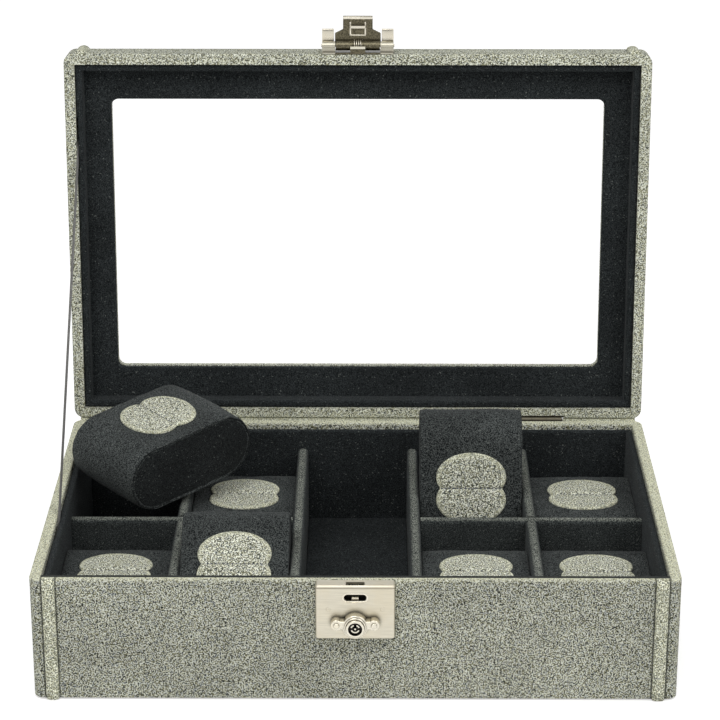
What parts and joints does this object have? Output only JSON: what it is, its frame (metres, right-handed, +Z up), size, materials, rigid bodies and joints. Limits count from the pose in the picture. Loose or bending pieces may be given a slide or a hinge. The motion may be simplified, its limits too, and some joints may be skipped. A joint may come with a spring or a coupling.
{
  "type": "watch box",
  "caption": "Leather-covered watch box with a glazed lid, stay ribbon, press lock with hasp, felt dividers and pillow cushions with leather patches.",
  "frame": {"origin": "centre of the underside, where the box stands on a table", "axes": "+Z up, the front with the lock looks along -Y, +X to the viewer's right"},
  "size_m": [0.3, 0.2416, 0.2738],
  "materials": {
    "cover_leather": "mottled, worn satin",
    "piping_leather": "worn satin",
    "patch_leather": "speckled satin",
    "board": "raw fibreboard",
    "felt": "napped",
    "cushion_felt": "napped",
    "ribbon": "woven",
    "glazing": "clear",
    "satin_nickel": "satin",
    "polished_nickel": "polished"
  },
  "bodies": {
    "base": {"base_front_board": "board", "base_back_board": "board", "base_side_boards": "board", "base_bottom_board": "board", "underside_felt": "felt", "base_front_leather": "cover_leather", "base_wrap_leather": "cover_leather", "base_piping": "piping_leather", "base_lining_floor": "felt", "centre_floor_pad": "felt", "base_lining_walls": "felt", "divider_column_1": "felt", "divider_column_2": "felt", "divider_column_3": "felt", "divider_column_4": "felt", "divider_row_left": "felt", "divider_row_right": "felt", "lock_plate": "satin_nickel", "lock_case": "satin_nickel", "lock_boss": "polished_nickel", "lock_rivets": "polished_nickel", "hinge_base_leaves": "satin_nickel", "hinge_base_screws": "polished_nickel", "hinge_pins": "satin_nickel", "stay_ribbon": "ribbon"},
    "lid": {"hinge_lid_leaves": "satin_nickel", "hinge_lid_screws": "polished_nickel", "lid_front_board": "board", "lid_back_board": "board", "lid_side_boards": "board", "lid_top_board": "board", "lid_leather": "cover_leather", "lid_piping": "piping_leather", "window_pane": "glazing", "pane_retainer": "board", "lid_lining_frame": "felt", "lid_lining_walls": "felt", "latch_plate": "satin_nickel", "latch_rivets": "polished_nickel", "hasp_pin": "polished_nickel"},
    "hasp": {"hasp_flap": "satin_nickel", "hasp_staple": "polished_nickel"},
    "key_plug": {"key_plug": "polished_nickel"},
    "lock_bolt": {"lock_bolt": "polished_nickel"},
    "cushion_1": {"cushion_1": "cushion_felt", "patch_1": "patch_leather"},
    "cushion_2": {"cushion_2": "cushion_felt", "patch_2": "patch_leather"},
    "cushion_3": {"cushion_3": "cushion_felt", "patch_3": "patch_leather"},
    "cushion_4": {"cushion_4": "cushion_felt", "patch_4": "patch_leather"},
    "cushion_5": {"cushion_5": "cushion_felt", "patch_5": "patch_leather"},
    "cushion_6": {"cushion_6": "cushion_felt", "patch_6": "patch_leather"},
    "cushion_7": {"cushion_7": "cushion_felt", "patch_7": "patch_leather"},
    "cushion_8": {"cushion_8": "cushion_felt", "patch_8": "patch_leather"}
  },
  "joints": [
    {"name": "lid_hinge", "type": "hinge", "parent": "base", "child": "lid", "pos_m": [0, 0.0974, 0.0621], "axis": [-1, 0, 0], "range_deg": [-94.7, 0], "deforming": ["stay_ribbon"]},
    {"name": "hasp_hinge", "type": "hinge", "parent": "lid", "child": "hasp", "pos_m": [0, 0.11754, 0.25941], "axis": [-1, 0, 0], "range_deg": [-90, 0], "stiffness_Nm_per_rad": 0.002, "springref_deg": 20.05},
    {"name": "key_turn", "type": "hinge", "parent": "base", "child": "key_plug", "pos_m": [0, -0.104, 0.043], "axis": [0, 1, 0], "range_deg": [-90, 0]},
    {"name": "bolt_rise", "type": "slide", "parent": "base", "child": "lock_bolt", "axis": [0, 0, 1], "range_m": [0, 0.003]},
    {"name": "cushion_2_tilt", "type": "hinge", "parent": "base", "child": "cushion_2", "pos_m": [-0.05758, -0.0666, 0.02577], "axis": [1, 0, 0], "range_deg": [-32.4, 0]},
    {"name": "cushion_5_carry", "type": "hinge", "parent": "base", "child": "cushion_5", "pos_m": [-0.02647, -0.12556, 0.0384], "axis": [0.7209, -0.6929, -0.018], "range_deg": [0, 173.3]},
    {"name": "cushion_7_tilt", "type": "hinge", "parent": "base", "child": "cushion_7", "pos_m": [0.05758, 0.03119, 0.03415], "axis": [1, 0, 0], "range_deg": [-76.3, 0]},
    {"name": "cushion_1_lift", "type": "slide", "parent": "base", "child": "cushion_1", "axis": [0, 0, 1], "range_m": [0, 0.045]},
    {"name": "cushion_3_lift", "type": "slide", "parent": "base", "child": "cushion_3", "axis": [0, 0, 1], "range_m": [0, 0.045]},
    {"name": "cushion_4_lift", "type": "slide", "parent": "base", "child": "cushion_4", "axis": [0, 0, 1], "range_m": [0, 0.045]},
    {"name": "cushion_6_lift", "type": "slide", "parent": "base", "child": "cushion_6", "axis": [0, 0, 1], "range_m": [0, 0.004]},
    {"name": "cushion_8_lift", "type": "slide", "parent": "base", "child": "cushion_8", "axis": [0, 0, 1], "range_m": [0, 0.045]}
  ],
  "couplings": [
    {"joint": "key_turn", "follows": "bolt_rise", "rad_per_m": -523.6},
    {"joint": "cushion_5_carry", "follows": "lid_hinge", "ratio": -1.83},
    {"joint": "cushion_7_tilt", "follows": "lid_hinge", "ratio": 0.8057}
  ]
}
